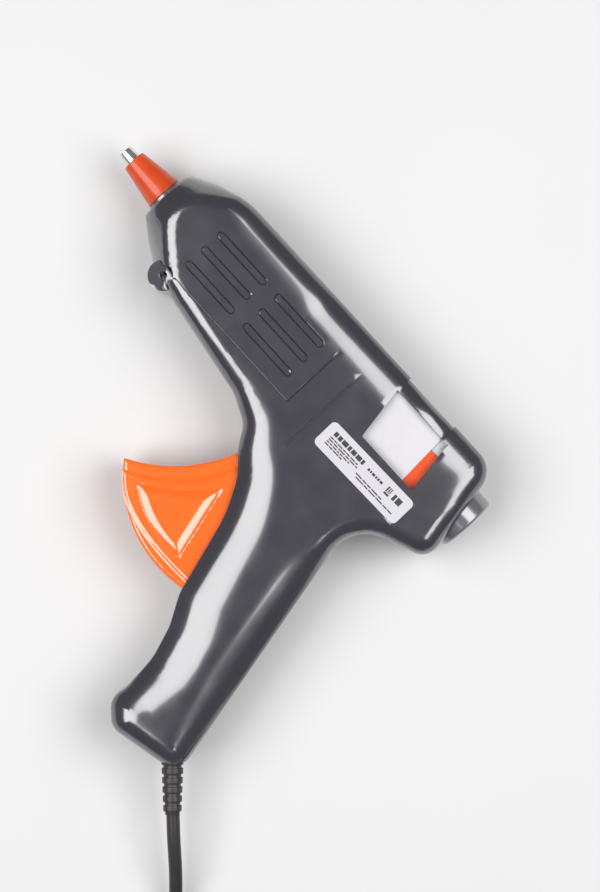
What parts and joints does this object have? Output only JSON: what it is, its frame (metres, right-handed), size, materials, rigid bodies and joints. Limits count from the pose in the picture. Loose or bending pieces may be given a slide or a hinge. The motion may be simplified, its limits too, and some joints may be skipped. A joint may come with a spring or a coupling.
{
  "type": "hot glue gun",
  "caption": "Corded hot-melt glue gun with a pistol grip, squeeze trigger, stick carriage, heated chamber and insulated nozzle, lying on its side",
  "frame": {"origin": "middle of the base under the gun, which lies on its right side; the cord and plug are left out", "axes": "+X from the nozzle back along the barrel, +Y towards the barrel's top as held, +Z out of the gun's left side, up"},
  "size_m": [0.3575, 0.2443, 0.0409],
  "materials": {
    "housing_plastic": "satin black moulded",
    "collar_plastic": "dark grey moulded",
    "label_film": "printed film",
    "nozzle_metal": "nickel plated, turned",
    "orange_silicone": "moulded silicone",
    "steel": "zinc plated",
    "spring_steel": "drawn wire",
    "cast_aluminium": "die cast",
    "heater_ceramic": "fired ceramic",
    "brass": "bright",
    "heater_film": "polyimide film",
    "screw_steel": "blackened",
    "white_acetal": "moulded",
    "orange_plastic": "glossy moulded",
    "cord_pvc": "soft PVC",
    "tie_plastic": "coated wire",
    "plug_plastic": "moulded",
    "fuse_cover_plastic": "moulded",
    "wire_brown": "soft PVC",
    "wire_blue": "soft PVC"
  },
  "bodies": {
    "housing": {"check_spring": "spring_steel", "coil_tie": "tie_plastic", "cord_clamp": "collar_plastic", "cord_clamp_screws": "screw_steel", "cord_coil": "cord_pvc", "cord_guard": "cord_pvc", "cord_lead": "cord_pvc", "cord_tail": "cord_pvc", "front_collar": "collar_plastic", "heater_clamp": "steel", "heater_electrodes": "brass", "heater_film": "heater_film", "heater_screws": "screw_steel", "housing_left": "housing_plastic", "housing_right": "housing_plastic", "housing_screws": "screw_steel", "inlet_collar": "collar_plastic", "inlet_sleeve": "orange_silicone", "inner_cable": "cord_pvc", "melting_chamber": "cast_aluminium", "nozzle": "nozzle_metal", "nozzle_cover": "orange_silicone", "plug_body": "plug_plastic", "plug_earth_pin": "plug_plastic", "plug_fuse_cover": "fuse_cover_plastic", "plug_pins": "brass", "ptc_heater": "heater_ceramic", "rating_label": "label_film", "return_spring": "spring_steel", "sleeve_clamp": "spring_steel", "terminals": "brass", "trigger_pin": "steel", "wire_live": "wire_brown", "wire_neutral": "wire_blue"},
    "trigger": {"trigger": "orange_plastic", "arm_pin": "steel"},
    "feed_link": {"feed_link": "white_acetal"},
    "carriage": {"carriage": "white_acetal", "clamp_pin": "steel"},
    "stick_clamp": {"stick_clamp": "orange_plastic", "tang_pin": "steel"},
    "check_ball": {"check_ball": "steel"}
  },
  "joints": [
    {"name": "trigger_pull", "type": "hinge", "parent": "housing", "child": "trigger", "pos_m": [0.0295, 0.02212, 0.017], "axis": [0, 0, 1], "range_deg": [0, 30], "stiffness_Nm_per_rad": 0.5, "springref_deg": -14.32},
    {"name": "carriage_slide", "type": "slide", "parent": "housing", "child": "carriage", "axis": [-1, 0, 0], "range_m": [0, 0.0126], "deforming": ["return_spring"]},
    {"name": "link_swing", "type": "hinge", "parent": "trigger", "child": "feed_link", "pos_m": [0.03649, 0.0482, 0.017], "axis": [0, 0, 1], "range_deg": [-30.5, 0]},
    {"name": "clamp_tilt", "type": "hinge", "parent": "carriage", "child": "stick_clamp", "pos_m": [0.0685, 0.07762, 0.017], "axis": [0, 0, 1], "range_deg": [-3.05, 0]},
    {"name": "check_ball_lift", "type": "slide", "parent": "housing", "child": "check_ball", "axis": [-1, 0, 0], "range_m": [0, 0.001], "stiffness_N_per_m": 150, "springref_m": -0.001, "deforming": ["check_spring"]}
  ],
  "couplings": [
    {"joint": "carriage_slide", "follows": "trigger_pull", "m_per_rad": 0.023752},
    {"joint": "link_swing", "follows": "trigger_pull", "ratio": -1},
    {"joint": "clamp_tilt", "follows": "trigger_pull", "ratio": -0.1}
  ]
}
